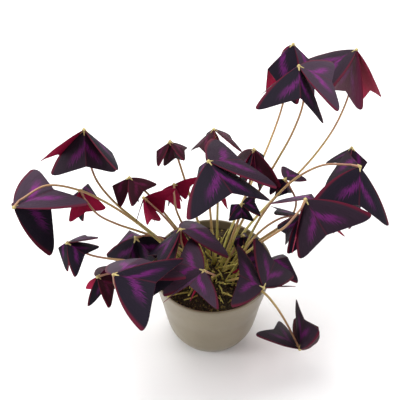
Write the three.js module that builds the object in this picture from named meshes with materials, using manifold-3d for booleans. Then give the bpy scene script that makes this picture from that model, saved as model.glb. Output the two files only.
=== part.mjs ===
// Potted oxalis: dark leaves of three folded leaflets on thin bent stalks, in a tapering pot of soil.
// Millimetres, Z up, X to the right of the front view, Y away from it. The pot stands on z = 0.
import * as THREE from 'three';
import { mergeVertices } from 'three/addons/utils/BufferGeometryUtils.js';
import Module from 'manifold-3d';

const wasm = await Module();
wasm.setup();

// Driving dimensions of the pot and its soil
const RIM_RADIUS = 52.5;
const POT_HEIGHT = 87;
const WALL = 2.2;
const FLOOR = 5;
const SIDES = 36;
const LIP_ROUND = 0.6;
const SOIL_TOP = 80;
const SOIL_BUMP = 1.2;
const SOIL_WAVE = 6.5;
const GAP = 0.3;

// Outer radius and height up the pot's side, as shares of the rim's radius and the pot's height
const SIDE_CURVE = [
  [0.57, 0], [0.63, 0.02], [0.69, 0.075], [0.75, 0.16], [0.79, 0.275],
  [0.825, 0.41], [0.86, 0.55], [0.905, 0.69], [0.95, 0.84], [1, 0.985],
];

// Rings of the soil's top, as shares of its radius
const SOIL_RINGS = [0.84, 0.6, 0.36, 0.16];

// Driving dimensions of the stalks and the holes they stand in
const STALK_RADIUS = 0.95;
const STALK_SIDES = 6;
const STALK_STEPS = 7;
const NECK = 7;
const SUNK = 5;
const HOLE_RADIUS = 1.5;
const HOLE_SIDES = 6;
const HOLE_ABOVE = 6;

// How far along a stalk its lower and its upper bend pull, where its row doesn't say
const PULLS = [0.45, 0.35];

// Ways a stalk may bend, the likeliest first: its lean and its pulls as shares of what its row asks for,
// and the steps between the ways out of the knob
const LEAN_SHARES = [1, 0.5, 1.4, 0.1];
const LOWER_SHARES = [1, 0.65, 1.35];
const UPPER_SHARES = [1, 0.6, 1.4];
const COMPASS_STEP = 30;
const RISES = [-90, -70, -50, -30, -10, 10, 30];
const OPTION_COST = 12;

// Driving dimensions of a leaf
const KNOB_RADIUS = 1.9;
const BLADE = 0.7;
const SAG = 0.03;
const MITRE_LIMIT = 0.4;

// Outline of a leaflet in units of its leaf's size: broad, with a shallow notch in a far edge that
// leans out to a rounded corner on each side; the side edges bow out from the knob
const NOTCH = 0.58;
const EDGE_LEAN = 0.203;
const SPREAD = 65;
const TAPER = 20;
const CORNER_FROM = 0.7;
const CORNER_DROP = 0.12;
const FIRST_REACH = 0.8;
const OUTLINE_PASSES = 12;
const COLUMNS = [-1, -0.88, 0, 0.88, 1];
const ROWS = [0.04, 0.55, 1];

// Rise and fold of the leaflets at the back of a leaf, which droop half closed
const BACK_RISE = -50;
const BACK_FOLD = 65;

// One row for each leaf. hub is where its leaflets meet and size the scale of its leaflets. A leaflet is
// [compass of its midrib from +X, rise above level, roll about the midrib, fold of each half], in degrees.
// back lists the compasses of the drooping leaflets at the back. root is where the stalk leaves the soil,
// lean how far it leans out there, out the compass and rise in which it best leaves the knob, and pulls
// how far along it the lower and the upper bend pull.
const LEAVES = [
  // Far left: the tall one, the long one at the edge, and the small ones beside and below them
  { hub: [-101, 31, 214], size: 50, leaflets: [[275, -45, -10, 35], [345, -40, -50, 15], [205, -35, 55, 0]],
    back: [], root: [-16, 2], lean: 2.2, out: [0, -90], pulls: [0.6, 0.5] },
  { hub: [-156, -13, 172], size: 64, leaflets: [[40, -5, -15, -5], [40, -30, 20, 45], [90, -20, -40, 60]],
    back: [], root: [-19, -3], lean: 1, out: [30, -30] },
  { hub: [-110, 28, 149], size: 32, leaflets: [[290, -50, 145, 0], [75, -25, 0, 55]],
    back: [165], root: [-13, 6], lean: 1.2, out: [290, -20] },
  { hub: [-117, -20, 138], size: 30, leaflets: [[330, -15, 10, 30], [30, -5, -40, 0]],
    back: [150], root: [-23, -7], lean: 1, out: [20, -60] },
  // Back, from left to right
  { hub: [-68, 25, 167], size: 28, leaflets: [[325, -25, -10, 5], [190, -25, -5, 50]],
    back: [75], root: [-8, 14], lean: 0.8, out: [0, -60] },
  { hub: [-35, 46, 187], size: 24, leaflets: [[295, -40, 5, 55], [345, -25, -25, 5], [190, -35, 20, 20]],
    back: [], root: [-3, 18], lean: 0.4, out: [80, -30] },
  { hub: [1, 57, 191], size: 33, leaflets: [[225, -25, 40, 5], [0, -35, -25, 0]],
    back: [120], root: [5, 17], lean: 0.4, out: [300, -75] },
  // Middle: the big high one, the one behind it, and the small one to its right
  { hub: [-4, -9, 218], size: 59, leaflets: [[300, -5, -15, 15], [35, -25, -5, 0]],
    back: [110], root: [2, 6], lean: 0.2, out: [0, -90] },
  { hub: [33, 34, 190], size: 42, leaflets: [[230, -75, 5, 25]],
    back: [50, 120], root: [12, 13], lean: 0.4, out: [320, -75] },
  { hub: [59, 24, 166], size: 20, leaflets: [[50, 5, 0, 15], [290, -50, 0, 50], [170, -10, 0, 65]],
    back: [], root: [19, 9], lean: 0.8, out: [60, -70] },
  // Right: the big low one, the one on its side below it, the far one and the one behind it
  { hub: [68, -31, 200], size: 53, leaflets: [[305, -30, 50, 15], [75, -60, -30, 50], [70, -35, 10, 35]],
    back: [], root: [16, 0], lean: 0.8, out: [260, -40] },
  { hub: [72, 1, 148], size: 35, leaflets: [[170, 10, 40, 0], [225, -25, -95, 0], [300, -30, -40, 60]],
    back: [], root: [20, -4], lean: 0.8, out: [180, -10] },
  { hub: [114, 8, 196], size: 56, leaflets: [[265, -20, -30, 10], [30, -65, 0, 60], [100, -20, 0, 60]],
    back: [], root: [24, 3], lean: 1, out: [120, -50] },
  { hub: [116, 53, 174], size: 31, leaflets: [[215, -25, 40, 0], [330, -30, 0, 45]],
    back: [95], root: [22, 13], lean: 1, out: [200, -60] },
  // Top right: the front one, the one behind it and the far one
  { hub: [68, 75, 242], size: 53, leaflets: [[270, -15, -20, 30], [355, -25, -5, 0], [90, -40, 0, 35]],
    back: [], root: [11, 7], lean: 0.8, out: [0, -90] },
  { hub: [70, 137, 218], size: 58, leaflets: [[225, -15, 30, 55], [20, -50, 0, 30]],
    back: [110], root: [7, 11], lean: 0.8, out: [0, -90], pulls: [0.35, 0.55] },
  { hub: [127, 144, 207], size: 65, leaflets: [[245, -60, 60, 0], [195, -25, 20, 0], [300, -45, -70, 0]],
    back: [], root: [16, 17], lean: 0.7, out: [205, -45] },
  // Front left: the upper one, the small one, the large one and the one behind it
  { hub: [-26, -12, 145], size: 48, leaflets: [[30, -25, -10, 15], [220, -25, 45, 0]],
    back: [120], root: [-4, -6], lean: 0.6, out: [290, -80] },
  { hub: [-64, 0, 121], size: 42, leaflets: [[330, -40, 45, 50], [110, -30, 0, 40], [240, -50, -35, 55]],
    back: [], root: [-12, -8], lean: 0.8, out: [20, -60] },
  { hub: [-75, -68, 157], size: 60, leaflets: [[340, 10, -5, 10], [55, -20, -20, 15], [335, -60, 90, 65]],
    back: [], root: [-19, -13], lean: 1, out: [20, -40] },
  { hub: [-96, -24, 99], size: 31, leaflets: [[340, -35, -20, 5], [60, -10, 0, 40], [10, -70, 0, 60]],
    back: [], root: [-26, -12], lean: 1, out: [30, -30] },
  // Front middle and right, and the one that hangs over the rim
  { hub: [-7, -49, 138], size: 43, leaflets: [[240, 20, 20, 30], [150, -10, -20, 15]],
    back: [75], root: [0, -14], lean: 0.4, out: [60, -60] },
  { hub: [40, -51, 119], size: 43, leaflets: [[180, 40, -10, 0], [65, 15, 55, 0], [90, -50, -15, 10]],
    back: [], root: [12, -14], lean: 0.8, out: [85, -35] },
  { hub: [45, -15, 108], size: 34, leaflets: [[20, -5, -5, 35], [140, 0, 0, 60], [200, 10, 0, 60]],
    back: [], root: [15, -9], lean: 0.8, out: [180, -30] },
  { hub: [74, -62, 49], size: 48, leaflets: [[140, 10, 40, 0], [80, 60, -70, 0], [50, 5, 30, 60]],
    back: [], root: [21, -18], lean: 1.2, out: [115, 10] },
  // Crown: two small ones among the stalks
  { hub: [24, 16, 145], size: 20, leaflets: [[270, -40, 0, 35], [10, 0, 0, 10], [150, -30, 0, 50]],
    back: [], root: [8, 3], lean: 0.4, out: [85, -60] },
  { hub: [27, 19, 102], size: 18, leaflets: [[200, -30, 0, 30], [330, 0, 0, 30], [80, -30, 0, 50]],
    back: [], root: [9, -3], lean: 0.6, out: [120, -60] },
  // Left of the middle: two whose undersides show
  { hub: [-32, 32, 152], size: 25, leaflets: [[245, -35, 115, 0], [10, -20, -80, 0]],
    back: [110], root: [-5, 8], lean: 0.6, out: [260, -30] },
  { hub: [-56, 10, 159], size: 32, leaflets: [[295, -40, 120, 0], [10, -15, -75, 0]],
    back: [95], root: [-11, 1], lean: 0.8, out: [330, -30] },
];

const LOOKS = {
  pot: { color: '#8d8570', roughness: 0.4, metalness: 0 },
  soil: { color: '#2c211b', roughness: 0.95, metalness: 0 },
  leaf: { color: '#4a2140', roughness: 0.45, metalness: 0 },
  stalk: { color: '#a89a48', roughness: 0.5, metalness: 0 },
};

const radians = THREE.MathUtils.degToRad;
const UP = new THREE.Vector3(0, 0, 1);

// A closed solid from a geometry, with coincident corners merged and flat triangles dropped
function solidOf(geometry) {
  const bare = geometry.clone();
  bare.deleteAttribute('normal');
  bare.deleteAttribute('uv');
  const merged = mergeVertices(bare);
  const corners = merged.index.array;
  const kept = [];
  for (let first = 0; first < corners.length; first += 3) {
    const [a, b, c] = corners.slice(first, first + 3);
    if (a !== b && b !== c && c !== a) {
      kept.push(a, b, c);
    }
  }
  return new wasm.Manifold(new wasm.Mesh({
    numProp: 3,
    vertProperties: new Float32Array(merged.attributes.position.array),
    triVerts: new Uint32Array(kept),
  }));
}

function geometryOf(solid) {
  const mesh = solid.getMesh();
  const geometry = new THREE.BufferGeometry();
  geometry.setAttribute('position', new THREE.Float32BufferAttribute(mesh.vertProperties, 3));
  geometry.setIndex(new THREE.Uint32BufferAttribute(mesh.triVerts, 1));
  geometry.computeVertexNormals();
  return geometry;
}

function meshOf(name, solid, look) {
  const mesh = new THREE.Mesh(geometryOf(solid), new THREE.MeshStandardMaterial(look));
  mesh.name = name;
  return mesh;
}

// Direction with a compass angle from +X and a rise above level, in degrees
function heading(compass, rise) {
  const turn = radians(compass);
  const lift = radians(rise);
  return new THREE.Vector3(
    Math.cos(lift) * Math.cos(turn),
    Math.cos(lift) * Math.sin(turn),
    Math.sin(lift),
  );
}

// Prism from a point along a direction, for the holes and the necks
function rodSolid(from, along, length, radius, sides) {
  const rod = new THREE.CylinderGeometry(radius, radius, length, sides);
  rod.applyQuaternion(new THREE.Quaternion().setFromUnitVectors(new THREE.Vector3(0, 1, 0), along));
  const middle = from.clone().addScaledVector(along, length / 2);
  return solidOf(rod.translate(middle.x, middle.y, middle.z));
}

// Pot: one lathed shell with a soft lip
const outerRadii = SIDE_CURVE.map(([radius]) => radius * RIM_RADIUS);
const sideHeights = SIDE_CURVE.map(([, height]) => height * POT_HEIGHT);

// Outer radius of the pot at a height, straight between the points of its side
function outerRadiusAt(height) {
  const above = Math.max(1, sideHeights.findIndex((level) => level >= height));
  const below = above - 1;
  const share = (height - sideHeights[below]) / (sideHeights[above] - sideHeights[below]);
  return THREE.MathUtils.lerp(outerRadii[below], outerRadii[above], share);
}

function potSolid() {
  const outside = outerRadii.map((radius, i) => new THREE.Vector2(radius, sideHeights[i]));
  const lip = [
    new THREE.Vector2(RIM_RADIUS - LIP_ROUND, POT_HEIGHT),
    new THREE.Vector2(RIM_RADIUS - WALL + LIP_ROUND, POT_HEIGHT),
  ];
  const insideHeights = [...sideHeights.filter((height) => height > FLOOR).reverse(), FLOOR];
  const inside = insideHeights.map((height) => new THREE.Vector2(outerRadiusAt(height) - WALL, height));
  const profile = [new THREE.Vector2(0, 0), ...outside, ...lip, ...inside, new THREE.Vector2(0, FLOOR)];
  return solidOf(new THREE.LatheGeometry(profile, SIDES).rotateX(Math.PI / 2));
}

// Soil: a bed that follows the pot's inner wall, uneven on top, with a plain hole for each stalk
function soilRadiusAt(height) {
  return outerRadiusAt(height) - WALL - GAP;
}

function soilBedSolid() {
  const bottom = FLOOR + GAP;
  const levels = sideHeights.filter((height) => height > bottom && height < SOIL_TOP);
  const rim = soilRadiusAt(SOIL_TOP);
  const profile = [
    new THREE.Vector2(0, bottom),
    ...[bottom, ...levels, SOIL_TOP].map((height) => new THREE.Vector2(soilRadiusAt(height), height)),
    ...SOIL_RINGS.map((share) => new THREE.Vector2(rim * share, SOIL_TOP)),
    new THREE.Vector2(0, SOIL_TOP),
  ];
  const bed = new THREE.LatheGeometry(profile, SIDES).rotateX(Math.PI / 2);
  const position = bed.attributes.position;
  for (let i = 0; i < position.count; i += 1) {
    const [x, y, z] = [position.getX(i), position.getY(i), position.getZ(i)];
    if (z > SOIL_TOP - GAP) {
      const inward = 1 - (Math.hypot(x, y) / rim) ** 2;
      const wave = Math.sin(x / SOIL_WAVE) + Math.cos(y / SOIL_WAVE + x / (2 * SOIL_WAVE));
      position.setZ(i, SOIL_TOP + (SOIL_BUMP / 2) * inward * wave);
    }
  }
  return solidOf(bed);
}

// Hole along the first straight stretch of a stalk
function holeSolid(path) {
  const start = path.getPointAt(0);
  const along = path.getPointAt(1 / STALK_STEPS).sub(start).normalize();
  const from = start.addScaledVector(along, -GAP);
  return rodSolid(from, along, GAP + SUNK + HOLE_ABOVE, HOLE_RADIUS, HOLE_SIDES);
}

function soilSolid(paths) {
  return paths.reduce((bed, path) => bed.subtract(holeSolid(path)), soilBedSolid());
}

// Angle from the midrib and distance from the knob of a place on half a leaflet.
// across runs from 0 at the midrib to 1 at the side edge, along from 0 at the knob to 1 at the far edge.
function bladePlace(across, along) {
  let reach = FIRST_REACH;
  for (let pass = 0; pass < OUTLINE_PASSES; pass += 1) {
    const angle = radians(across * (SPREAD - TAPER * reach));
    reach = NOTCH / (Math.cos(angle) - EDGE_LEAN * Math.sin(angle));
  }
  if (across > CORNER_FROM) {
    const share = (across - CORNER_FROM) / (1 - CORNER_FROM);
    reach *= 1 - CORNER_DROP + CORNER_DROP * Math.sqrt(1 - share * share);
  }
  const distance = reach * along;
  return { angle: radians(across * (SPREAD - TAPER * distance)), distance };
}

// Midrib, face and side directions of a leaflet
function leafletFrame([compass, rise, roll]) {
  const rib = heading(compass, rise);
  const level = UP.clone().addScaledVector(rib, -UP.dot(rib)).normalize();
  const face = level.clone().multiplyScalar(Math.cos(radians(roll)));
  face.addScaledVector(new THREE.Vector3().crossVectors(rib, level), Math.sin(radians(roll)));
  return { rib, face, side: new THREE.Vector3().crossVectors(rib, face) };
}

// Closed sheet from matching top and bottom grids, split into triangles alike on both faces
function sheetSolid(tops, bottoms, columns, rows) {
  const at = (column, row) => column * rows + row;
  const under = tops.length;
  const triangles = [];
  for (let i = 0; i < columns - 1; i += 1) {
    for (let j = 0; j < rows - 1; j += 1) {
      const [a, b, c, d] = [at(i, j), at(i + 1, j), at(i + 1, j + 1), at(i, j + 1)];
      triangles.push(a, b, c, a, c, d);
      triangles.push(under + a, under + c, under + b, under + a, under + d, under + c);
    }
  }
  const border = [];
  for (let i = 0; i < columns - 1; i += 1) {
    border.push(at(i, 0));
  }
  for (let j = 0; j < rows - 1; j += 1) {
    border.push(at(columns - 1, j));
  }
  for (let i = columns - 1; i > 0; i -= 1) {
    border.push(at(i, rows - 1));
  }
  for (let j = rows - 1; j > 0; j -= 1) {
    border.push(at(0, j));
  }
  border.forEach((from, i) => {
    const to = border[(i + 1) % border.length];
    triangles.push(from, under + from, under + to, from, under + to, to);
  });
  const geometry = new THREE.BufferGeometry().setFromPoints([...tops, ...bottoms]);
  geometry.setIndex(triangles);
  return solidOf(geometry);
}

// Leaflet: two flat halves that drop from the midrib by the fold, one thickness all over
function leafletSolid(hub, size, leaflet) {
  const { rib, face, side } = leafletFrame(leaflet);
  const fold = radians(leaflet[3]);
  const tops = [];
  const bottoms = [];
  for (const column of COLUMNS) {
    const hand = Math.sign(column);
    const wing = side.clone().multiplyScalar(hand * Math.cos(fold)).addScaledVector(face, -Math.sin(fold));
    const normal = hand === 0
      ? face.clone().divideScalar(Math.max(Math.cos(fold), MITRE_LIMIT))
      : face.clone().multiplyScalar(Math.cos(fold)).addScaledVector(side, hand * Math.sin(fold));
    for (const row of ROWS) {
      const { angle, distance } = bladePlace(Math.abs(column), row);
      const place = new THREE.Vector3(...hub)
        .addScaledVector(rib, size * distance * Math.cos(angle))
        .addScaledVector(wing, size * distance * Math.sin(angle))
        .addScaledVector(face, -size * SAG * distance * distance);
      tops.push(place.clone().addScaledVector(normal, BLADE / 2));
      bottoms.push(place.clone().addScaledVector(normal, -BLADE / 2));
    }
  }
  return sheetSolid(tops, bottoms, COLUMNS.length, ROWS.length);
}

// Outer skin of a solid: leaflets that cross can shut in a pocket, and it is filled
function outerShell(solid) {
  return solid.decompose().reduce((largest, part) => (part.volume() > largest.volume() ? part : largest));
}

// Leaf: three leaflets that grow together at one small knob
function leafSolid({ hub, size, leaflets, back }) {
  const knob = solidOf(new THREE.IcosahedronGeometry(KNOB_RADIUS).translate(...hub));
  const drooping = back.map((compass) => [compass, BACK_RISE, 0, BACK_FOLD]);
  return outerShell([...leaflets, ...drooping].reduce(
    (leaf, leaflet) => leaf.add(leafletSolid(hub, size, leaflet)),
    knob,
  ));
}

// Neck: the stub of stalk that the knob keeps
function neckSolid({ hub }, out) {
  return rodSolid(new THREE.Vector3(...hub), out, NECK, STALK_RADIUS, STALK_SIDES);
}

// Stalk: it leaves the soil leaning out, bends, and stops a gap short of the neck
function stalkPath({ hub, root }, { out, lean, lower, upper }) {
  const top = new THREE.Vector3(...hub);
  const foot = new THREE.Vector3(...root, SOIL_TOP);
  const span = top.distanceTo(foot);
  const outward = new THREE.Vector3(top.x - foot.x, top.y - foot.y, 0).normalize();
  const start = UP.clone().addScaledVector(outward, lean).normalize();
  return new THREE.CubicBezierCurve3(
    foot.clone().addScaledVector(start, -SUNK),
    foot.clone().addScaledVector(start, span * lower),
    top.clone().addScaledVector(out, span * upper),
    top.clone().addScaledVector(out, NECK + GAP),
  );
}

function stalkSolid(path, radius) {
  const corners = Array.from({ length: STALK_SIDES }, (_, i) => {
    const turn = (2 * Math.PI * i) / STALK_SIDES;
    return new THREE.Vector2(radius * Math.cos(turn), radius * Math.sin(turn));
  });
  return solidOf(new THREE.ExtrudeGeometry(new THREE.Shape(corners), {
    steps: STALK_STEPS,
    bevelEnabled: false,
    extrudePath: path,
  }));
}

// Every way a stalk may bend, sorted by how little it strays from the way its leaf prefers
function bendsOf(leaf) {
  const wished = heading(...leaf.out);
  const [low, high] = leaf.pulls ?? PULLS;
  const bends = [];
  for (const rise of RISES) {
    for (let compass = 0; compass < 360; compass += COMPASS_STEP) {
      const out = heading(compass, rise);
      const strayed = THREE.MathUtils.radToDeg(out.angleTo(wished));
      LEAN_SHARES.forEach((more, i) => LOWER_SHARES.forEach((below, j) => UPPER_SHARES.forEach((above, k) => {
        const cost = strayed + OPTION_COST * (i + j + k);
        bends.push({ out, lean: leaf.lean * more, lower: low * below, upper: high * above, cost });
      })));
    }
  }
  return bends.sort((a, b) => a.cost - b.cost);
}

function touches(one, other) {
  const [boxOne, boxOther] = [one.boundingBox(), other.boundingBox()];
  const apart = [0, 1, 2].some((k) => boxOne.max[k] < boxOther.min[k] || boxOther.max[k] < boxOne.min[k]);
  return !apart && !one.intersect(other).isEmpty();
}

// The first way to bend that keeps a gap to everything already in its place
function clearBend(leaf, obstacles) {
  return bendsOf(leaf).find((bend) => {
    const sleeve = stalkSolid(stalkPath(leaf, bend), STALK_RADIUS + GAP);
    return !obstacles.some((obstacle) => touches(sleeve, obstacle));
  });
}

const pot = potSolid();
const leafSolids = LEAVES.map(leafSolid);
const sleeves = [];
const bends = LEAVES.map((leaf) => {
  const bend = clearBend(leaf, [pot, ...leafSolids, ...sleeves]);
  sleeves.push(stalkSolid(stalkPath(leaf, bend), STALK_RADIUS + GAP));
  return bend;
});
const paths = LEAVES.map((leaf, i) => stalkPath(leaf, bends[i]));

const plant = new THREE.Group();
plant.name = 'potted_oxalis';
plant.add(meshOf('pot', pot, LOOKS.pot));
plant.add(meshOf('soil', soilSolid(paths), LOOKS.soil));
LEAVES.forEach((leaf, i) => {
  const number = String(i + 1).padStart(2, '0');
  const leafAndNeck = outerShell(leafSolids[i].add(neckSolid(leaf, bends[i].out)));
  plant.add(meshOf(`leaf_${number}`, leafAndNeck, LOOKS.leaf));
  plant.add(meshOf(`stalk_${number}`, stalkSolid(paths[i], STALK_RADIUS), LOOKS.stalk));
});

export default plant;
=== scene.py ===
"""Potted oxalis: dark purple leaves of three folded leaflets on bent stalks, in a tapering taupe pot."""
import math
import random

import bpy
from mathutils import Matrix, Vector, noise


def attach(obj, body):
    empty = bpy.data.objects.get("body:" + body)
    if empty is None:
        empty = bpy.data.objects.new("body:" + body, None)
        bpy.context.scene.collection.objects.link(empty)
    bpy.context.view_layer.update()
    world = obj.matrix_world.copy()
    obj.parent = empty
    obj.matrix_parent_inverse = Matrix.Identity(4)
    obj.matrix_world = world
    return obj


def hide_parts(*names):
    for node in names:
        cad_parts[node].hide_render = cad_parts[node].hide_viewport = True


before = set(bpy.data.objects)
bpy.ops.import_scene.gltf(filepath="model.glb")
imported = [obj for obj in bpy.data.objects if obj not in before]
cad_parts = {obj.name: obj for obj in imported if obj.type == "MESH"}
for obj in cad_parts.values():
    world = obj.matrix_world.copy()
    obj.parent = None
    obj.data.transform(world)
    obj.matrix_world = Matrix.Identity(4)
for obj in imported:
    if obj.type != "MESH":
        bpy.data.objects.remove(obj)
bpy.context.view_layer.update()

# Pot: a thin-walled pot of smooth taupe plastic with a soft sheen, moulded in one piece. It tapers to a
# rounded foot and ends in a plain rounded lip; it is bare all round and stands on its flat underside.
scene = bpy.context.scene
# Sizes of the pot and the plant are in millimetres, and MM turns them into metres
MM = 0.001
RIM_RADIUS = 52.5
POT_HEIGHT = 87
WALL = 2.2
POT_FLOOR = 5
POT_SEGMENTS = 128
CURVE_STEPS = 6
LIP_ARC_STEPS = 8
SHARP_TURN = math.radians(50)
POT_COLOUR = (0.2, 0.165, 0.105, 1)
POT_SHADE = (0.17, 0.138, 0.086, 1)
POT_ROUGHNESS = (0.28, 0.4)
# Outer radius and height up the pot's side, as shares of the rim's radius and the pot's height
SIDE_CURVE = [
    (0.57, 0), (0.63, 0.02), (0.69, 0.075), (0.75, 0.16), (0.79, 0.275),
    (0.825, 0.41), (0.86, 0.55), (0.905, 0.69), (0.95, 0.84), (1, 0.985),
]


class Shape:
    """Corners, faces, material numbers and face-corner UVs of a mesh that is put together in steps."""

    def __init__(self):
        self.corners = []
        self.faces = []
        self.slots = []
        self.uvs = []

    def add(self, corners, faces, slot=0, uvs=None):
        """Adds a patch. uvs holds one pair for each corner of the patch."""
        first = len(self.corners)
        self.corners.extend(corners)
        for face in faces:
            self.faces.append([first + i for i in face])
            self.slots.append(slot)
            self.uvs.append([uvs[i] if uvs else (0, 0) for i in face])

    def build(self, name, materials):
        """A smooth-shaded object at the origin; corners are in millimetres."""
        mesh = bpy.data.meshes.new(name)
        mesh.from_pydata([Vector(corner) * MM for corner in self.corners], [], self.faces)
        layer = mesh.uv_layers.new(name="surface")
        flat = [value for pairs in self.uvs for pair in pairs for value in pair]
        layer.data.foreach_set("uv", flat)
        for material in materials:
            mesh.materials.append(material)
        mesh.polygons.foreach_set("material_index", self.slots)
        mesh.polygons.foreach_set("use_smooth", [True] * len(self.faces))
        mesh.validate()
        obj = bpy.data.objects.new(name, mesh)
        scene.collection.objects.link(obj)
        return obj


def catmull_rom(points, steps):
    """Smooth line through points, with that many steps in each stretch."""
    ends = [points[0] * 2 - points[1]] + points + [points[-1] * 2 - points[-2]]
    line = []
    for i in range(1, len(ends) - 2):
        before, here, there, after = ends[i - 1:i + 3]
        for step in range(steps):
            t = step / steps
            line.append(0.5 * (
                2 * here + (there - before) * t
                + (2 * before - 5 * here + 4 * there - after) * t ** 2
                + (3 * here - before - 3 * there + after) * t ** 3
            ))
    return line + [points[-1]]


def lathe(shape, profile, segments):
    """Turns a profile of (radius, height) that starts and ends on the axis."""
    corners = [(0, 0, profile[0][1])]
    for radius, height in profile[1:-1]:
        for k in range(segments):
            turn = math.tau * k / segments
            corners.append((radius * math.cos(turn), radius * math.sin(turn), height))
    corners.append((0, 0, profile[-1][1]))
    last = len(corners) - 1
    rings = len(profile) - 2
    faces = []
    for k in range(segments):
        after = (k + 1) % segments
        faces.append((0, 1 + after, 1 + k))
        for ring in range(rings - 1):
            low = 1 + ring * segments
            high = low + segments
            faces.append((low + k, low + after, high + after, high + k))
        top = 1 + (rings - 1) * segments
        faces.append((top + k, top + after, last))
    shape.add(corners, faces)


def new_material(name, roughness, specular):
    """A material and its shader, with roughness and mirror strength set on the shader itself."""
    material = bpy.data.materials.new(name)
    material.use_nodes = True
    shader = material.node_tree.nodes["Principled BSDF"]
    shader.inputs["Roughness"].default_value = roughness
    shader.inputs["Specular IOR Level"].default_value = specular
    return material, shader


def node(material, kind, inputs=None, **settings):
    """A shader node; inputs maps a socket's name or number to a value or to another node's output."""
    made = material.node_tree.nodes.new(kind)
    for key, value in settings.items():
        setattr(made, key, value)
    for key, value in (inputs or {}).items():
        if isinstance(value, bpy.types.NodeSocket):
            material.node_tree.links.new(value, made.inputs[key])
        else:
            made.inputs[key].default_value = value
    return made


def maths(material, operation, *values):
    """Output of a Math node."""
    return node(material, "ShaderNodeMath", dict(enumerate(values)), operation=operation).outputs[0]


def spread(material, value, low, high):
    """Stretches a value between 0 and 1 so that it runs from low to high."""
    return maths(material, "MULTIPLY_ADD", value, high - low, low)


def grain(material, cells, detail=3, where=None):
    """Noise between 0 and 1, of that many cells a metre, or a unit of where."""
    where = where or node(material, "ShaderNodeTexCoord").outputs["Object"]
    inputs = {"Vector": where, "Scale": cells, "Detail": detail}
    return node(material, "ShaderNodeTexNoise", inputs).outputs["Fac"]


def ramp(material, value, *stops):
    """Colour that runs through stops of (value, colour)."""
    made = node(material, "ShaderNodeValToRGB", {"Fac": value})
    while len(made.color_ramp.elements) < len(stops):
        made.color_ramp.elements.new(1)
    for element, (at, colour) in zip(made.color_ramp.elements, stops):
        element.position = at
        element.color = colour
    return made.outputs["Color"]


def feed(material, value, shader, socket):
    """Joins an output to one of the shader's sockets."""
    material.node_tree.links.new(value, shader.inputs[socket])


def relief(material, shader, height, depth):
    """Bump of that depth in metres."""
    bump = node(material, "ShaderNodeBump", {"Height": height, "Distance": depth, "Strength": 1})
    feed(material, bump.outputs["Normal"], shader, "Normal")


def pot_material():
    """Taupe plastic, faintly cloudy, its sheen a little uneven from handling."""
    material, shader = new_material("taupe_plastic", roughness=0.34, specular=0.5)
    tone = ramp(material, grain(material, cells=30), (0.35, POT_SHADE), (0.7, POT_COLOUR))
    feed(material, tone, shader, "Base Color")
    feed(material, spread(material, grain(material, cells=180), *POT_ROUGHNESS), shader, "Roughness")
    relief(material, shader, grain(material, cells=900, detail=4), depth=0.00003)
    return material


def smooth_side(inset=0):
    """The wall's profile from its foot to its lip, moved in by inset."""
    points = [Vector((radius * RIM_RADIUS, height * POT_HEIGHT)) for radius, height in SIDE_CURVE]
    return [(point.x - inset, point.y) for point in catmull_rom(points, CURVE_STEPS)]


def pot_profile():
    """Underside, outer side, rounded lip, inner side and floor."""
    outside = smooth_side()
    lip_height = outside[-1][1]
    lip_depth = POT_HEIGHT - lip_height
    half_wall = WALL / 2
    wall_middle = RIM_RADIUS - half_wall
    arc = [math.pi * k / LIP_ARC_STEPS for k in range(1, LIP_ARC_STEPS)]
    lip = [(wall_middle + half_wall * math.cos(a), lip_height + lip_depth * math.sin(a)) for a in arc]
    inside = [(radius, height) for radius, height in reversed(smooth_side(WALL)) if height > POT_FLOOR]
    floor = [(inside[-1][0] - WALL, POT_FLOOR), (0, POT_FLOOR)]
    return [(0, 0), *outside, *lip, *inside, *floor]


pot_shape = Shape()
lathe(pot_shape, pot_profile(), POT_SEGMENTS)
pot = pot_shape.build("pot_fine", [pot_material()])
pot.data.set_sharp_from_angle(angle=SHARP_TURN)
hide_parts("pot")
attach(pot, "root")

# Soil: damp dark potting mix that fills the pot to just under its rim, with loose crumbs and olive bits,
# and the crown of the plant in its middle: a clump of short old stalk ends.
SOIL_TOP = 80
SOIL_GAP = 0.3
SOIL_RINGS = 34
SOIL_SEGMENTS = 96
SOIL_ROUGH = 1.6
# Size, share of the roughness and layer of the noise, for the coarse and the fine lumps
SOIL_LUMPS = [(14, 0.7, 3), (3.5, 0.4, 8)]
# How much each finer layer of a lump fades, how much finer it is, and how many there are
LUMP_LAYERS = (1, 2, 3)
CRUMBS = 2200
CRUMB_SIZES = (0.5, 1.5)
CRUMB_SIZE_LEAN = 3
CRUMB_SQUASH = [(0.6, 1.4), (0.6, 1.2), (0.4, 0.9)]
CRUMB_RISE = 0.25
OLIVE_SHARE = 0.42
# Old stalk ends: how many there are, how far from the middle they stand, and how they lean, bend and taper
STUBS = 110
STUB_SPREAD = 32
STUB_CROWDING = 0.8
STUB_LENGTHS = (8, 28)
STUB_RADII = (0.4, 0.9)
STUB_SUNK = 1
STUB_SPLAY = (0, 0.9)
STUB_SWAY = (-0.6, 0.6)
STUB_RISE = (0.35, 1)
STUB_BEND = (-2, 2)
STUB_ARCH = 1.5
STUB_TAPER = (1.2, 0.7)
STUB_SIDES = 7
STUB_STEPS = 6
SOIL_DARK = (0.012, 0.008, 0.005, 1)
SOIL_BROWN = (0.05, 0.032, 0.016, 1)
CRUMB_OLIVE = (0.24, 0.18, 0.045, 1)
CRUMB_BROWN = (0.06, 0.038, 0.016, 1)
STUB_GREEN = (0.66, 0.63, 0.16, 1)
STUB_BROWN = (0.28, 0.19, 0.06, 1)
CRUMB_SLOT = 1
OLIVE_SLOT = 2
STUB_SLOT = 3
luck = random.Random(7)


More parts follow.
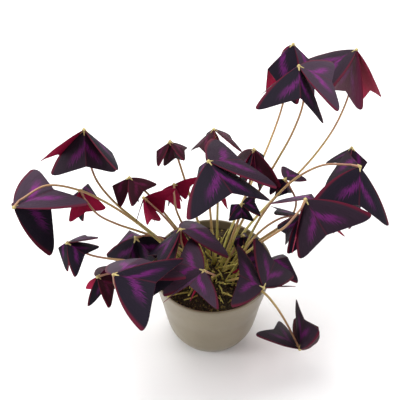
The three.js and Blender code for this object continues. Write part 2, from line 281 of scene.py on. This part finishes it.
def soil_height(x, y):
    """Height of the uneven soil at a place."""
    lumps = 0
    for size, share, layer in SOIL_LUMPS:
        lumps += share * noise.fractal(Vector((x / size, y / size, layer)), *LUMP_LAYERS)
    return SOIL_TOP + SOIL_ROUGH * lumps


def soil_bed():
    """Closed bed: the uneven top, and a side that follows the pot's wall down to its floor."""
    bottom = POT_FLOOR + SOIL_GAP
    edge = SOIL_TOP - SOIL_ROUGH
    side = [(radius - SOIL_GAP, height) for radius, height in smooth_side(WALL) if bottom < height < edge]
    rim = side[-1][0]
    top = [(rim * (1 - k / SOIL_RINGS), SOIL_TOP) for k in range(SOIL_RINGS)]
    bed = Shape()
    lathe(bed, [(0, bottom), *side, *top, (0, SOIL_TOP)], SOIL_SEGMENTS)
    lowest_top = SOIL_TOP - SOIL_GAP
    bed.corners = [(x, y, soil_height(x, y) if z > lowest_top else z) for x, y, z in bed.corners]
    return bed


def between(low, high, share):
    """Value that share of the way from low to high."""
    return low + (high - low) * share


def lump_corners_and_faces():
    """Corners and faces of a small twenty-sided lump."""
    golden = (1 + math.sqrt(5)) / 2
    corners = [Vector(corner).normalized() for corner in (
        (-1, golden, 0), (1, golden, 0), (-1, -golden, 0), (1, -golden, 0),
        (0, -1, golden), (0, 1, golden), (0, -1, -golden), (0, 1, -golden),
        (golden, 0, -1), (golden, 0, 1), (-golden, 0, -1), (-golden, 0, 1),
    )]
    faces = [
        (0, 11, 5), (0, 5, 1), (0, 1, 7), (0, 7, 10), (0, 10, 11), (1, 5, 9), (5, 11, 4),
        (11, 10, 2), (10, 7, 6), (7, 1, 8), (3, 9, 4), (3, 4, 2), (3, 2, 6), (3, 6, 8),
        (3, 8, 9), (4, 9, 5), (2, 4, 11), (6, 2, 10), (8, 6, 7), (9, 8, 1),
    ]
    return corners, faces


def chance_place(distance):
    """A place at that distance from the pot's axis, and the turn that leads there."""
    turn = luck.uniform(0, math.tau)
    return distance * math.cos(turn), distance * math.sin(turn), turn


def add_crumbs(shape):
    """Loose crumbs over the soil, smaller ones more often."""
    corners, faces = lump_corners_and_faces()
    small, large = CRUMB_SIZES
    reach = RIM_RADIUS - 2 * WALL - large
    for _ in range(CRUMBS):
        x, y = chance_place(reach * math.sqrt(luck.random()))[:2]
        size = between(small, large, luck.random() ** CRUMB_SIZE_LEAN)
        spin = Matrix.Rotation(luck.uniform(0, math.tau), 3, Vector((luck.random(), luck.random(), 1)))
        squash = Vector([luck.uniform(*span) for span in CRUMB_SQUASH]) * size
        middle = Vector((x, y, soil_height(x, y) + size * CRUMB_RISE))
        crumb = [middle + spin @ (corner * squash) for corner in corners]
        shape.add(crumb, faces, OLIVE_SLOT if luck.random() < OLIVE_SHARE else CRUMB_SLOT)


def add_tube(shape, line, radii, sides, slot, colour_from=0):
    """Closed tube along a line, its rings carried along without twist. Its UVs run from colour_from to 1."""
    ahead = (line[1] - line[0]).normalized()
    across = ahead.orthogonal().normalized()
    corners = []
    uvs = []
    last = len(line) - 1
    for i, point in enumerate(line):
        before = line[max(i - 1, 0)]
        after = line[min(i + 1, last)]
        ahead = (after - before).normalized()
        across = (across - ahead * across.dot(ahead)).normalized()
        other = ahead.cross(across)
        for k in range(sides):
            turn = math.tau * k / sides
            corners.append(point + (across * math.cos(turn) + other * math.sin(turn)) * radii[i])
            uvs.append((k / sides, between(colour_from, 1, i / last)))
    faces = []
    for i in range(last):
        for k in range(sides):
            after = (k + 1) % sides
            low = i * sides
            high = low + sides
            faces.append((low + k, low + after, high + after, high + k))
    faces.append(tuple(reversed(range(sides))))
    top = last * sides
    faces.append(tuple(top + k for k in range(sides)))
    shape.add(corners, faces, slot, uvs)


def add_stubs(shape):
    """Old stalk ends that lean out of the crown."""
    shares = [k / STUB_STEPS for k in range(STUB_STEPS + 1)]
    for _ in range(STUBS):
        x, y, turn = chance_place(STUB_SPREAD * luck.random() ** STUB_CROWDING)
        foot = Vector((x, y, soil_height(x, y) - STUB_SUNK))
        lean = Vector((math.cos(turn), math.sin(turn), 0)) * luck.uniform(*STUB_SPLAY)
        lean += Vector([luck.uniform(*span) for span in (STUB_SWAY, STUB_SWAY, STUB_RISE)])
        tip = foot + lean.normalized() * luck.uniform(*STUB_LENGTHS)
        bend = Vector((luck.uniform(*STUB_BEND), luck.uniform(*STUB_BEND), STUB_ARCH))
        middle = (foot + tip) / 2 + bend
        line = [foot.lerp(middle, share).lerp(middle.lerp(tip, share), share) for share in shares]
        thick = luck.uniform(*STUB_RADII)
        radii = [thick * between(*STUB_TAPER, share) for share in shares]
        add_tube(shape, line, radii, STUB_SIDES, STUB_SLOT)


def soil_material():
    """Dark mix, brown where it is dry."""
    material, shader = new_material("potting_soil", roughness=0.92, specular=0.25)
    tone = ramp(material, grain(material, cells=420, detail=6), (0.3, SOIL_DARK), (0.75, SOIL_BROWN))
    feed(material, tone, shader, "Base Color")
    relief(material, shader, grain(material, cells=900, detail=6), depth=0.0006)
    return material


def crumb_material(name, dark, light):
    """Rough crumb or fibre, between a dark and a light tone."""
    material, shader = new_material(name, roughness=0.85, specular=0.3)
    tone = ramp(material, grain(material, cells=700), (0.3, dark), (0.7, light))
    feed(material, tone, shader, "Base Color")
    relief(material, shader, grain(material, cells=2500, detail=4), depth=0.0002)
    return material


bed_shape = soil_bed()
add_crumbs(bed_shape)
add_stubs(bed_shape)
soil = bed_shape.build("soil_fine", [
    soil_material(),
    crumb_material("soil_crumb", SOIL_DARK, CRUMB_BROWN),
    crumb_material("soil_olive_bit", CRUMB_BROWN, CRUMB_OLIVE),
    crumb_material("old_stalk_end", STUB_BROWN, STUB_GREEN),
])
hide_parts("soil")
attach(soil, "root")

# Stalks: juicy round stalks, one to a leaf, that rise from the crown, bend over and thin a little toward
# the leaf. They are smooth and half glossy, yellow-green low down and tan or pinkish higher up.
STALKS = 29
STALK_SIDES = 12
STALK_STEPS = 8
STALK_RADII = (1.25, 0.85)
# Corners of a plain stalk that lie nearer to each other than this belong to one ring
RING_REACH = 1.4
STALK_BLOTCH = 0.45
STALK_GREEN = (0.43, 0.4, 0.1, 1)
STALK_TAN = (0.42, 0.26, 0.105, 1)
STALK_PINK = (0.3, 0.14, 0.085, 1)
STALK_GLOW = 0.15
STALK_GLOW_REACH = (0.002, 0.0015, 0.0005)


def stalk_material():
    """Juicy skin that turns from green through tan to pink along the stalk, in uneven blotches."""
    material, shader = new_material("stalk_skin", roughness=0.42, specular=0.5)
    surface = node(material, "ShaderNodeUVMap", uv_map="surface").outputs["UV"]
    along = node(material, "ShaderNodeSeparateXYZ", {0: surface}).outputs[1]
    blotch = spread(material, grain(material, cells=60), -STALK_BLOTCH, STALK_BLOTCH)
    shifted = maths(material, "ADD", along, blotch)
    tone = ramp(material, shifted, (0.05, STALK_GREEN), (0.6, STALK_TAN), (1, STALK_PINK))
    feed(material, tone, shader, "Base Color")
    relief(material, shader, grain(material, cells=1500), depth=0.00006)
    shader.inputs["Subsurface Weight"].default_value = STALK_GLOW
    shader.inputs["Subsurface Radius"].default_value = STALK_GLOW_REACH
    return material


def ring_centres(points):
    """Groups corners that lie close together, ring by ring, and returns each group's middle."""
    left = list(points)
    centres = []
    while left:
        group = [left.pop()]
        for member in group:
            near = [point for point in left if (point - member).length < RING_REACH]
            left = [point for point in left if (point - member).length >= RING_REACH]
            group.extend(near)
        centres.append(sum(group, Vector()) / len(group))
    return centres


def centre_line(name):
    """A stalk's centre line in millimetres, from its foot in the soil to its leaf's neck."""
    seen = {tuple(round(value / MM, 2) for value in v.co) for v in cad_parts[name].data.vertices}
    left = ring_centres([Vector(point) for point in sorted(seen)])
    inside_pot = [centre for centre in left if math.hypot(centre.x, centre.y) < RIM_RADIUS]
    line = [min(inside_pot, key=lambda centre: centre.z)]
    left.remove(line[0])
    while left:
        line.append(min(left, key=lambda centre: (centre - line[-1]).length))
        left.remove(line[-1])
    return line


stalk_skin = stalk_material()
stalk_tops = []
for number in range(1, STALKS + 1):
    name = f"stalk_{number:02d}"
    line = centre_line(name)
    stalk_tops.append(line[-1])
    smooth = catmull_rom(line, STALK_STEPS)
    radii = [between(*STALK_RADII, k / (len(smooth) - 1)) for k in range(len(smooth))]
    stalk_shape = Shape()
    add_tube(stalk_shape, smooth, radii, STALK_SIDES, 0)
    stalk = stalk_shape.build(f"{name}_fine", [stalk_skin])
    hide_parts(name)
    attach(stalk, "root")

# Leaves: each one is three broad leaflets around a small pale knob, folded along the midrib. The blade is
# thin and soft: near black above with a magenta chevron and a violet-tinted sheen, crimson below, reddish at
# its edge, and finely veined. On leaflets that catch the overhead light the ground and chevron are lighter:
# painted sheen. One leaflet is a brighter crimson: painted light shining through it from behind. Three short
# pale joints hold the leaflets to the knob on the stalk's end.
BLADE = 0.7
EDGE_BLADE = 0.3
# Shares of a blade that thin toward its side edge and its far edge
SIDE_THINNING = 0.25
FAR_THINNING = 0.2
# How far a limp blade sags and curls down, as shares of the leaf's size, and the size of its ripples
SAG = 0.03
CUP = 0.035
CUP_POWER = 4
RIPPLE = 0.5
RIPPLE_CELL = 11
# Keeps a sharply folded leaflet from growing too thick at its midrib
MITRE_LIMIT = 0.4
# Outline of a leaflet: lengths in units of its leaf's size, angles in degrees from the midrib. Its reach is
# worked out in passes from a first guess.
NOTCH = 0.58
EDGE_LEAN = 0.203
SIDE_ANGLE = 65
SIDE_ANGLE_LOSS = 20
CORNER_FROM = 0.7
CORNER_DROP = 0.12
FIRST_REACH = 0.8
OUTLINE_PASSES = 12
# Grid of a blade, which starts that share of its length away from where the leaflets meet
HALF_COLUMNS = 14
BLADE_ROWS = 18
BLADE_START = 0.04
# How the leaflets behind droop and fold where they aren't set one by one
BACK_RISE = -50
BACK_FOLD = 65
BACK_TONE = "dark"
KNOB_RADIUS = 1.7
JOINT_LENGTH = 4.6
JOINT_SHARE = 0.12
JOINT_RADIUS = 0.95
JOINT_TAPER = (1.1, 0.5)
JOINT_STEPS = 4
JOINT_SIDES = 8
NECK_STEPS = 6
NECK_TAPER = (1.35, 1)
NECK_COLOUR_FROM = 0.8
# Ground, chevron and bloom of the upper faces. The second and third are lighter copies of the first: painted
# sheen for leaflets that catch the overhead light
TONES = {
    "dark": ((0.008, 0.004, 0.012, 1), (0.085, 0.006, 0.082, 1), 0),
    "dusk": ((0.024, 0.012, 0.023, 1), (0.11, 0.01, 0.1, 1), 0.02),
    "lilac": ((0.05, 0.028, 0.048, 1), (0.15, 0.018, 0.14, 1), 0.06),
    "wine": ((0.03, 0.003, 0.009, 1), (0.075, 0.004, 0.03, 1), 0),
    # Painted light: a brighter crimson ground and chevron for a leaflet lit through from behind
    "rose": ((0.09, 0.004, 0.032, 1), (0.13, 0.007, 0.1, 1), 0),
}
UNDER_SLOT = len(TONES)
EDGE_SLOT = UNDER_SLOT + 1
KNOB_SLOT = UNDER_SLOT + 2
NECK_SLOT = UNDER_SLOT + 3
VEIN_STRETCH = (60, 5, 1)
VEIN_SHADE = 0.55
# The chevron lies between two lines that slant away from the knob toward the side edges. Each line and
# each fading is soft between its two values.
CHEVRON_WANDER = 0.21
CHEVRON_NEAR_SLANT = 0.5
CHEVRON_FAR_SLANT = 0.6
CHEVRON_NEAR = (0.12, 0.2)
CHEVRON_FAR = (0.24, 0.33)
CHEVRON_SIDE = (0.4, 0.7)
CHEVRON_GAPS = (0.2, 0.6)
CHEVRON_STRENGTH = (0.35, 1.05)
RIB_SIDE = (0.012, 0.04)
RIB_STRENGTH = 0.25
MARGIN_SIDE = (0.9, 0.97)
MARGIN_STRENGTH = 0.85
PORE_SHARE = 0.4
BLOOM_ROUGHNESS = 0.4
BLOOM_TINT = (0.75, 0.55, 0.8, 1)
UNDER_DARK = (0.05, 0.002, 0.01, 1)
UNDER_RED = (0.3, 0.009, 0.045, 1)
UNDER_STREAKS = 0.7
UNDER_OUTWARD = 0.35
EDGE_RED = (0.1, 0.004, 0.018, 1)
MARGIN_RED = (0.085, 0.004, 0.017, 1)
KNOB_PALE = (0.52, 0.44, 0.17, 1)
KNOB_TAN = (0.33, 0.23, 0.09, 1)

# Each row, in millimetres and degrees: where the leaflets meet, their size, the leaflets that are set one
# by one as (compass, rise, roll, fold), the compasses of those behind, which all droop alike, and a tone
# for each leaflet that is set one by one. Some tones are painted sheen, and one is painted light that
# shines through the blade from behind
LEAVES = [
    # Far left: the tall one, the long one at the edge, and the small ones beside and below them
    ((-101, 31, 214), 50, [(275, -45, -10, 35), (345, -40, -50, 15), (205, -35, 55, 0)], [],
     "dusk dark dark"),
    ((-156, -13, 172), 64, [(40, -5, -15, -5), (40, -30, 20, 45), (90, -20, -40, 60)], [],
     "lilac dark dark"),
    ((-110, 28, 149), 32, [(290, -50, 145, 0), (75, -25, 0, 55)], [165], "wine dusk"),
    ((-117, -20, 138), 30, [(330, -15, 10, 30), (30, -5, -40, 0)], [150], "dark lilac"),
    # Back, from left to right
    ((-68, 25, 167), 28, [(325, -25, -10, 5), (190, -25, -5, 50)], [75], "wine wine"),
    ((-35, 46, 187), 24, [(295, -40, 5, 55), (345, -25, -25, 5), (190, -35, 20, 20)], [], "wine wine wine"),
    ((1, 57, 191), 33, [(225, -25, 40, 5), (0, -35, -25, 0)], [120], "wine wine"),
    # Middle: the big high one, the one behind it, and the small one to its right
    ((-4, -9, 218), 59, [(300, -5, -15, 15), (35, -25, -5, 0)], [110], "dark dusk"),
    ((33, 34, 190), 42, [(230, -75, 5, 25)], [50, 120], "wine"),
    ((59, 24, 166), 20, [(50, 5, 0, 15), (290, -50, 0, 50), (170, -10, 0, 65)], [], "lilac dark dark"),
    # Right: the big low one, the one on its side below it, the far one and the one behind it
    ((68, -31, 200), 53, [(305, -30, 50, 15), (75, -60, -30, 50), (70, -35, 10, 35)], [], "dusk dark lilac"),
    ((72, 1, 148), 35, [(170, 10, 40, 0), (225, -25, -95, 0), (300, -30, -40, 60)], [], "dark dark dark"),
    ((114, 8, 196), 56, [(265, -20, -30, 10), (30, -65, 0, 60), (100, -20, 0, 60)], [], "dark dark dusk"),
    ((116, 53, 174), 31, [(215, -25, 40, 0), (330, -30, 0, 45)], [95], "dark dusk"),
    # Top right: the front one, the one behind it and the far one
    ((68, 75, 242), 53, [(270, -15, -20, 30), (355, -25, -5, 0), (90, -40, 0, 35)], [], "dark lilac dark"),
    ((70, 137, 218), 58, [(225, -15, 30, 55), (20, -50, 0, 30)], [110], "dark lilac"),
    ((127, 144, 207), 65, [(245, -60, 60, 0), (195, -25, 20, 0), (300, -45, -70, 0)], [], "rose dusk dark"),
    # Front left: the upper one, the small one, the large one and the one behind it
    ((-26, -12, 145), 48, [(30, -25, -10, 15), (220, -25, 45, 0)], [120], "lilac dark"),
    ((-64, 0, 121), 42, [(330, -40, 45, 50), (110, -30, 0, 40), (240, -50, -35, 55)], [], "dark lilac dark"),
    ((-75, -68, 157), 60, [(340, 10, -5, 10), (55, -20, -20, 15), (335, -60, 90, 65)], [], "dark lilac dark"),
    ((-96, -24, 99), 31, [(340, -35, -20, 5), (60, -10, 0, 40), (10, -70, 0, 60)], [], "wine wine dark"),
    # Front middle and right, and the one that hangs over the rim
    ((-7, -49, 138), 43, [(240, 20, 20, 30), (150, -10, -20, 15)], [75], "lilac lilac"),
    ((40, -51, 119), 43, [(180, 40, -10, 0), (65, 15, 55, 0), (90, -50, -15, 10)], [], "dusk dusk dark"),
    ((45, -15, 108), 34, [(20, -5, -5, 35), (140, 0, 0, 60), (200, 10, 0, 60)], [], "dusk dusk dark"),
    ((74, -62, 49), 48, [(140, 10, 40, 0), (80, 60, -70, 0), (50, 5, 30, 60)], [], "dusk dusk wine"),
    # Crown: two small ones among the stalks
    ((24, 16, 145), 20, [(270, -40, 0, 35), (10, 0, 0, 10), (150, -30, 0, 50)], [], "dark dark dark"),
    ((27, 19, 102), 18, [(200, -30, 0, 30), (330, 0, 0, 30), (80, -30, 0, 50)], [], "dark dark dark"),
    # Left of the middle: two whose undersides show
    ((-32, 32, 152), 25, [(245, -35, 115, 0), (10, -20, -80, 0)], [110], "dark dark"),
    ((-56, 10, 159), 32, [(295, -40, 120, 0), (10, -15, -75, 0)], [95], "dark dark"),
]


def mix(material, share, one, other):
    """Colour that share of the way from one to the other."""
    return node(material, "ShaderNodeMix", {0: share, 6: one, 7: other}, data_type="RGBA").outputs[2]


def step_up(material, value, low, high):
    """0 below low, 1 above high, soft between."""
    made = node(material, "ShaderNodeMapRange", {0: value, 1: low, 2: high}, interpolation_type="SMOOTHSTEP")
    return made.outputs[0]


def step_down(material, value, low, high):
    """1 below low, 0 above high, soft between."""
    return maths(material, "SUBTRACT", 1, step_up(material, value, low, high))


def surface_parts(material):
    """A blade's UVs, and its across (0 at the midrib, 1 at the side edge) and along (from the knob)."""
    surface = node(material, "ShaderNodeUVMap", uv_map="surface").outputs["UV"]
    split = node(material, "ShaderNodeSeparateXYZ", {0: surface})
    across = maths(material, "ABSOLUTE", spread(material, split.outputs[0], -1, 1))
    return surface, across, split.outputs[1]


def veins(material, surface):
    """Fine lines that fan out from the knob toward the far edge."""
    stretched = node(material, "ShaderNodeMapping", {0: surface, 3: VEIN_STRETCH}).outputs[0]
    return grain(material, cells=1, where=stretched)


def chevron(material, streaks, across, along):
    """Share of the chevron's colour: a ragged, broken band to each side of the midrib."""
    wander = spread(material, streaks, -CHEVRON_WANDER, CHEVRON_WANDER)
    ragged = maths(material, "ADD", along, wander)
    past_near = maths(material, "SUBTRACT", ragged, maths(material, "MULTIPLY", across, CHEVRON_NEAR_SLANT))
    past_far = maths(material, "SUBTRACT", ragged, maths(material, "MULTIPLY", across, CHEVRON_FAR_SLANT))
    entered = step_up(material, past_near, *CHEVRON_NEAR)
    not_left = step_down(material, past_far, *CHEVRON_FAR)
    narrowing = step_down(material, across, *CHEVRON_SIDE)
    band = maths(material, "MULTIPLY", maths(material, "MULTIPLY", entered, not_left), narrowing)
    spotted = step_up(material, grain(material, cells=260, detail=4), *CHEVRON_GAPS)
    broken = maths(material, "MULTIPLY", spotted, step_up(material, streaks, *CHEVRON_GAPS))
    return maths(material, "MULTIPLY", band, spread(material, broken, *CHEVRON_STRENGTH))


def top_material(name, ground, mark, bloom):
    """Upper face: a streaky magenta chevron on a darker ground, with crimson margins and midrib."""
    material, shader = new_material(name, roughness=0.6, specular=0.08)
    surface, across, along = surface_parts(material)
    streaks = veins(material, surface)
    dusky = tuple(value * VEIN_SHADE for value in ground[:3]) + (1,)
    veined = mix(material, streaks, ground, dusky)
    painted = mix(material, chevron(material, streaks, across, along), veined, mark)
    rib = maths(material, "MULTIPLY", step_down(material, across, *RIB_SIDE), RIB_STRENGTH)
    ribbed = mix(material, rib, painted, EDGE_RED)
    margin = maths(material, "MULTIPLY", step_up(material, across, *MARGIN_SIDE), MARGIN_STRENGTH)
    feed(material, mix(material, margin, ribbed, MARGIN_RED), shader, "Base Color")
    pores = maths(material, "MULTIPLY", grain(material, cells=900, detail=2), PORE_SHARE)
    relief(material, shader, maths(material, "ADD", streaks, pores), depth=0.00025)
    shader.inputs["Sheen Weight"].default_value = bloom
    shader.inputs["Sheen Roughness"].default_value = BLOOM_ROUGHNESS
    shader.inputs["Sheen Tint"].default_value = BLOOM_TINT
    return material


def under_material():
    """Lower face: crimson that deepens to wine between the veins."""
    material, shader = new_material("leaf_underside", roughness=0.7, specular=0.04)
    surface, _, along = surface_parts(material)
    streaks = veins(material, surface)
    outward = maths(material, "MULTIPLY", along, UNDER_OUTWARD)
    blend = maths(material, "MULTIPLY_ADD", streaks, UNDER_STREAKS, outward)
    feed(material, ramp(material, blend, (0.2, UNDER_DARK), (0.55, UNDER_RED)), shader, "Base Color")
    relief(material, shader, streaks, depth=0.0003)
    return material


def edge_material():
    """The blade's thin reddish rim."""
    material, shader = new_material("leaf_edge", roughness=0.55, specular=0.15)
    tone = ramp(material, grain(material, cells=300, detail=2), (0.3, UNDER_DARK), (0.65, EDGE_RED))
    feed(material, tone, shader, "Base Color")
    relief(material, shader, grain(material, cells=2000, detail=2), depth=0.00005)
    return material


def knob_material():
    """The pale, slightly tan knob and joints."""
    material, shader = new_material("leaf_knob", roughness=0.5, specular=0.4)
    tone = ramp(material, grain(material, cells=500), (0.35, KNOB_TAN), (0.6, KNOB_PALE))
    feed(material, tone, shader, "Base Color")
    relief(material, shader, grain(material, cells=1800), depth=0.00012)
    return material


def blade_place(across, along):
    """Angle from the midrib and distance from the knob, in units of the leaf's size."""
    reach = FIRST_REACH
    for _ in range(OUTLINE_PASSES):
        angle = math.radians(across * (SIDE_ANGLE - SIDE_ANGLE_LOSS * reach))
        reach = NOTCH / (math.cos(angle) - EDGE_LEAN * math.sin(angle))
    if across > CORNER_FROM:
        share = (across - CORNER_FROM) / (1 - CORNER_FROM)
        reach *= 1 - CORNER_DROP + CORNER_DROP * math.sqrt(max(0, 1 - share * share))
    distance = reach * along
    return math.radians(across * (SIDE_ANGLE - SIDE_ANGLE_LOSS * distance)), distance


COLUMN_PLACES = [math.sin(math.pi / 2 * i / HALF_COLUMNS) for i in range(-HALF_COLUMNS, HALF_COLUMNS + 1)]
ROW_PLACES = [between(BLADE_START, 1, j / BLADE_ROWS) for j in range(BLADE_ROWS + 1)]
BLADE_GRID = [[blade_place(abs(column), row) for row in ROW_PLACES] for column in COLUMN_PLACES]


def heading(compass, rise):
    """Direction with a compass angle from +X and a rise above level, in degrees."""
    turn = math.radians(compass)
    lift = math.radians(rise)
    return Vector((math.cos(lift) * math.cos(turn), math.cos(lift) * math.sin(turn), math.sin(lift)))


def leaflet_frame(compass, rise, roll):
    """Midrib, face and side directions of a leaflet."""
    rib = heading(compass, rise)
    up = Vector((0, 0, 1))
    level = (up - rib * up.dot(rib)).normalized()
    turn = math.radians(roll)
    face = level * math.cos(turn) + rib.cross(level) * math.sin(turn)
    return rib, face, rib.cross(face)


def add_sheet(shape, tops, bottoms, uvs, slots):
    """Closed sheet between two grids: upper faces, lower faces and rim."""
    columns = len(COLUMN_PLACES)
    rows = len(ROW_PLACES)
    upper = []
    lower = []
    for i in range(columns - 1):
        for j in range(rows - 1):
            near = i * rows + j
            next_column = near + rows
            upper.append((near, next_column, next_column + 1, near + 1))
            lower.append((near, near + 1, next_column + 1, next_column))
    border = [i * rows for i in range(columns - 1)]
    border += [(columns - 1) * rows + j for j in range(rows - 1)]
    border += [i * rows + rows - 1 for i in range(columns - 1, 0, -1)]
    border += list(range(rows - 1, 0, -1))
    under = len(tops)
    rim = [(a, under + a, under + b, b) for a, b in zip(border, border[1:] + border[:1])]
    shape.add(tops, upper, slots[0], uvs)
    shape.add(bottoms, lower, slots[1], uvs)
    shape.add(tops + bottoms, rim, slots[2], uvs + uvs)


def add_leaflet(shape, hub, size, leaflet, top_slot):
    """Two halves that drop from the midrib by the fold, thinner toward the edge and slightly rippled."""
    rib, face, side = leaflet_frame(*leaflet[:3])
    fold = math.radians(leaflet[3])
    tops = []
    bottoms = []
    uvs = []
    for column, places in zip(COLUMN_PLACES, BLADE_GRID):
        hand = (column > 0) - (column < 0)
        wing = side * hand * math.cos(fold) - face * math.sin(fold)
        if hand == 0:
            normal = face / max(math.cos(fold), MITRE_LIMIT)
        else:
            normal = face * math.cos(fold) + side * hand * math.sin(fold)
        for row, (angle, distance) in zip(ROW_PLACES, places):
            middle = hub + size * (rib * distance * math.cos(angle) + wing * distance * math.sin(angle))
            middle -= face * size * SAG * distance ** 2
            middle -= normal * size * CUP * distance * column ** CUP_POWER
            wave = noise.noise(middle / RIPPLE_CELL) * RIPPLE * abs(column) * distance
            middle += normal * wave
            inner = math.sqrt(min(1, (1 - abs(column)) / SIDE_THINNING, (1 - row) / FAR_THINNING))
            half = between(EDGE_BLADE, BLADE, inner) / 2
            tops.append(middle + normal * half)
            bottoms.append(middle - normal * half)
            uvs.append((0.5 + column / 2, distance))
    add_sheet(shape, tops, bottoms, uvs, (top_slot, UNDER_SLOT, EDGE_SLOT))


def add_knob(shape, hub, size, ribs):
    """Lumpy knob with a short joint to each leaflet."""
    corners, faces = lump_corners_and_faces()
    shape.add([hub + corner * KNOB_RADIUS for corner in corners], faces, KNOB_SLOT)
    length = min(JOINT_LENGTH, size * JOINT_SHARE)
    shares = [k / JOINT_STEPS for k in range(JOINT_STEPS + 1)]
    radii = [JOINT_RADIUS * between(*JOINT_TAPER, share) for share in shares]
    for rib in ribs:
        add_tube(shape, [hub + rib * length * share for share in shares], radii, JOINT_SIDES, KNOB_SLOT)


def add_neck(shape, hub, stalk_top):
    """The stub of stalk that the knob keeps."""
    shares = [k / NECK_STEPS for k in range(NECK_STEPS + 1)]
    line = [hub.lerp(stalk_top, share) for share in shares]
    radii = [STALK_RADII[1] * between(*NECK_TAPER, share) for share in shares]
    add_tube(shape, line, radii, STALK_SIDES, NECK_SLOT, NECK_COLOUR_FROM)


def leaf_shape(row, stalk_top):
    """A leaf's leaflets, its knob and its neck."""
    hub, size, leaflets, back, tones = row
    hub = Vector(hub)
    shape = Shape()
    tone_slots = {tone: slot for slot, tone in enumerate(TONES)}
    all_leaflets = leaflets + [(compass, BACK_RISE, 0, BACK_FOLD) for compass in back]
    all_tones = tones.split() + [BACK_TONE] * len(back)
    for leaflet, tone in zip(all_leaflets, all_tones):
        add_leaflet(shape, hub, size, leaflet, tone_slots[tone])
    add_knob(shape, hub, size, [heading(*leaflet[:2]) for leaflet in all_leaflets])
    add_neck(shape, hub, stalk_top)
    return shape


leaf_materials = [top_material(f"leaf_top_{tone}", *colours) for tone, colours in TONES.items()]
leaf_materials += [under_material(), edge_material(), knob_material(), stalk_skin]
for number, (row, stalk_top) in enumerate(zip(LEAVES, stalk_tops), start=1):
    name = f"leaf_{number:02d}"
    leaf = leaf_shape(row, stalk_top).build(f"{name}_fine", leaf_materials)
    leaf.data.set_sharp_from_angle(angle=SHARP_TURN)
    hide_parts(name)
    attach(leaf, "root")

# Stage: a wide pale floor, a soft overhead light a little behind the plant, and two tall soft lights
# beside it that give the pot its upright highlights.
FLOOR_SIZE = 8
FLOOR_COLOUR = (0.9, 0.9, 0.9, 1)
SKY_COLOUR = (1, 1, 1, 1)
SKY_STRENGTH = 0.55
floor_shape = Shape()
half = FLOOR_SIZE / 2 / MM
floor_shape.add([(-half, -half, 0), (half, -half, 0), (half, half, 0), (-half, half, 0)], [(0, 1, 2, 3)])
floor_material, floor_shader = new_material("pale_floor", roughness=0.9, specular=0.1)
floor_shader.inputs["Base Color"].default_value = FLOOR_COLOUR
floor = floor_shape.build("floor", [floor_material])


def soft_light(name, where, aim, width, height, power):
    """Rectangular light of that power in watts, turned toward aim; its places and sizes are in metres."""
    light = bpy.data.lights.new(name, "AREA")
    light.shape = "RECTANGLE"
    light.size = width
    light.size_y = height
    light.energy = power
    lamp = bpy.data.objects.new(name, light)
    lamp.location = where
    lamp.rotation_euler = (Vector(aim) - Vector(where)).to_track_quat("-Z", "Y").to_euler()
    scene.collection.objects.link(lamp)


soft_light("overhead", where=(-0.15, 0.45, 1.25), aim=(0, 0, 0.12), width=1.3, height=1.1, power=22)
soft_light("left_strip", where=(-0.8, -0.25, 0.35), aim=(0, 0, 0.08), width=0.25, height=0.9, power=5)
soft_light("right_strip", where=(0.8, -0.25, 0.35), aim=(0, 0, 0.08), width=0.25, height=0.9, power=4)
world = bpy.data.worlds.new("pale_room")
world.use_nodes = True
world.node_tree.nodes["Background"].inputs["Color"].default_value = SKY_COLOUR
world.node_tree.nodes["Background"].inputs["Strength"].default_value = SKY_STRENGTH
scene.world = world
scene.view_settings.view_transform = "Standard"

# Camera: above the front of the plant, looking down at it as in the photograph. Its place, tilt and lens
# were fitted to the rim and the foot of the pot there.
CAMERA_PLACE = (-0.01035, -0.4709, 0.6614)
CAMERA_TILT = math.radians(43.6)
CAMERA_LENS = 77.2
CAMERA_SENSOR = 36
camera_data = bpy.data.cameras.new("camera")
camera_data.lens = CAMERA_LENS
camera_data.sensor_width = CAMERA_SENSOR
camera = bpy.data.objects.new("camera", camera_data)
camera.location = CAMERA_PLACE
camera.rotation_euler = (CAMERA_TILT, 0, 0)
scene.collection.objects.link(camera)
scene.camera = camera
